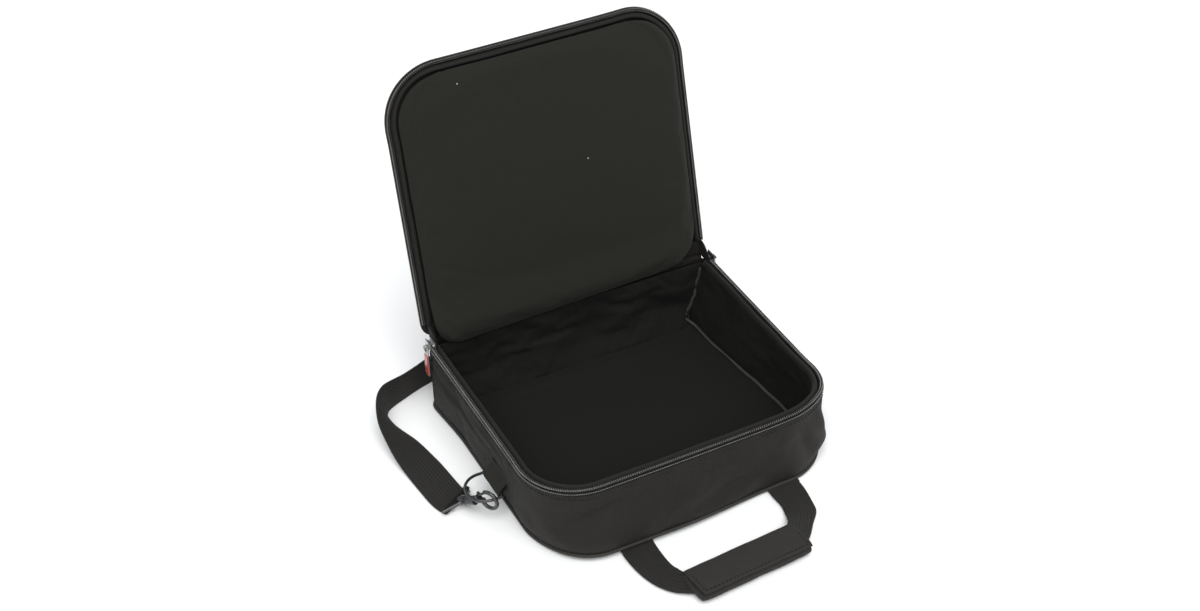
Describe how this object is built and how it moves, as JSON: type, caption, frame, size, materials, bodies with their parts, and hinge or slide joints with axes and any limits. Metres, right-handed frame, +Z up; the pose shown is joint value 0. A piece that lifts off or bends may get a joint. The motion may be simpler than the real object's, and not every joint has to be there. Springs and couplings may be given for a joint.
{
  "type": "miniature carry case",
  "caption": "Soft padded zip-round carry case with hinged lid, folding webbing grab handle, side D-rings and a clip-on shoulder strap with snap hooks.",
  "frame": {"origin": "centre of the case's bottom face", "axes": "+X along the hinge to the case's right as seen from the handle side, -Y towards the handle, +Z up"},
  "size_m": [0.4483, 0.4831, 0.3577],
  "materials": {
    "shell_cloth": "matte woven nylon, dark olive-brown",
    "brushed_lining": "brushed, faintly mottled",
    "facing_cloth": "smooth woven facing",
    "floor_cloth": "matte",
    "piping": "woven tape",
    "foam": "closed-cell foam, hidden",
    "board": "stiffener board, hidden",
    "zip_tape": "woven tape",
    "zip_coil": "worn nylon coil",
    "webbing": "ribbed nylon webbing",
    "slider_metal": "worn die-cast",
    "pull_metal": "satin",
    "pull_enamel": "plain red enamel",
    "dark_metal": "black oxide, semi-gloss",
    "wrap_cloth": "padded woven sleeve",
    "hook_loop": "hook and loop tape"
  },
  "bodies": {
    "base": {"bottom_panel": "shell_cloth", "bottom_board": "board", "floor_foam": "foam", "floor_lining": "floor_cloth", "bottom_piping": "piping", "gusset_shell": "shell_cloth", "gusset_foam": "foam", "gusset_lining": "brushed_lining", "rear_shell": "shell_cloth", "rear_foam": "foam", "rear_lining": "brushed_lining", "floor_binding": "piping", "corner_bindings": "piping", "rim_facing": "facing_cloth", "base_zip_tape": "zip_tape", "base_zip_coil": "zip_coil", "zip_stops": "zip_coil", "hinge_strip": "zip_tape", "ring_tab_left": "webbing", "ring_tab_right": "webbing", "handle_anchors": "webbing", "hook_eye_left": "dark_metal", "hook_eye_right": "dark_metal", "strap_left": "webbing", "strap_back": "webbing", "strap_right": "webbing", "strap_end_left": "webbing", "strap_end_right": "webbing"},
    "lid": {"lid_shell": "shell_cloth", "lid_board": "board", "lid_foam": "foam", "lid_lining": "brushed_lining", "lid_facing": "facing_cloth", "lid_zip_tape": "zip_tape", "lid_zip_coil": "zip_coil"},
    "slider_l": {"slider_left": "slider_metal"},
    "slider_r": {"slider_right": "slider_metal"},
    "pull_l": {"pull_left": "pull_metal", "pull_face_left": "pull_enamel"},
    "pull_r": {"pull_right": "pull_metal", "pull_face_right": "pull_enamel"},
    "ring_l": {"d_ring_left": "dark_metal"},
    "ring_r": {"d_ring_right": "dark_metal"},
    "hook_l": {"hook_left": "dark_metal"},
    "hook_r": {"hook_right": "dark_metal"},
    "gate_l": {"hook_gate_left": "dark_metal"},
    "gate_r": {"hook_gate_right": "dark_metal"},
    "adjuster": {"strap_adjuster": "dark_metal"},
    "handle": {"handle_leg_left": "webbing", "handle_leg_right": "webbing", "handle_core": "webbing", "handle_wrap": "wrap_cloth", "grip_closure": "hook_loop"},
    "flap": {"wrap_flap": "wrap_cloth"}
  },
  "joints": [
    {"name": "lid_hinge", "type": "hinge", "parent": "base", "child": "lid", "pos_m": [0, 0.139, 0.087], "axis": [-1, 0, 0], "range_deg": [-104.5, 38]},
    {"name": "zip_left", "type": "slide", "parent": "base", "child": "slider_l", "axis": [0, 1, 0], "range_m": [-0.195, 0]},
    {"name": "zip_right", "type": "slide", "parent": "base", "child": "slider_r", "axis": [0, 1, 0], "range_m": [-0.195, 0]},
    {"name": "pull_left_swing", "type": "hinge", "parent": "slider_l", "child": "pull_l", "pos_m": [-0.1685, 0.1285, 0.0836], "axis": [0, 1, 0], "range_deg": [0, 85]},
    {"name": "pull_right_swing", "type": "hinge", "parent": "slider_r", "child": "pull_r", "pos_m": [0.1685, 0.1285, 0.0836], "axis": [0, -1, 0], "range_deg": [0, 85]},
    {"name": "ring_left_swing", "type": "hinge", "parent": "base", "child": "ring_l", "pos_m": [-0.1697, -0.034, 0.028], "axis": [0, 1, 0], "range_deg": [-8, 6]},
    {"name": "ring_right_swing", "type": "hinge", "parent": "base", "child": "ring_r", "pos_m": [0.1697, -0.034, 0.028], "axis": [0, -1, 0], "range_deg": [-8, 2.5]},
    {"name": "hook_left_swivel", "type": "hinge", "parent": "base", "child": "hook_l", "pos_m": [-0.203, -0.014, 0.005], "axis": [0.4426, -0.7823, 0.4384], "range_deg": [-6, 6]},
    {"name": "hook_right_swivel", "type": "hinge", "parent": "base", "child": "hook_r", "pos_m": [0.19, -0.0046, 0.005], "axis": [0, 0.8988, -0.4384], "range_deg": [-6, 6]},
    {"name": "gate_left_pivot", "type": "hinge", "parent": "hook_l", "child": "gate_l", "pos_m": [-0.1893, -0.03822, 0.02436], "axis": [0.8704, 0.4924, 0], "range_deg": [0, 22], "stiffness_Nm_per_rad": 0.02, "springref_deg": -17.19},
    {"name": "gate_right_pivot", "type": "hinge", "parent": "hook_r", "child": "gate_r", "pos_m": [0.19, -0.03243, 0.02436], "axis": [1, 0, 0], "range_deg": [0, 22], "stiffness_Nm_per_rad": 0.02, "springref_deg": -17.19},
    {"name": "adjuster_slide", "type": "slide", "parent": "base", "child": "adjuster", "axis": [1, 0, 0], "range_m": [-0.03, 0.04]},
    {"name": "handle_swing", "type": "hinge", "parent": "base", "child": "handle", "pos_m": [0.012, -0.146, 0.004], "axis": [-1, 0, 0], "range_deg": [0, 60]},
    {"name": "wrap_opening", "type": "hinge", "parent": "handle", "child": "flap", "pos_m": [0.012, -0.217, 0.0152], "axis": [-1, 0, 0], "range_deg": [0, 90]}
  ]
}
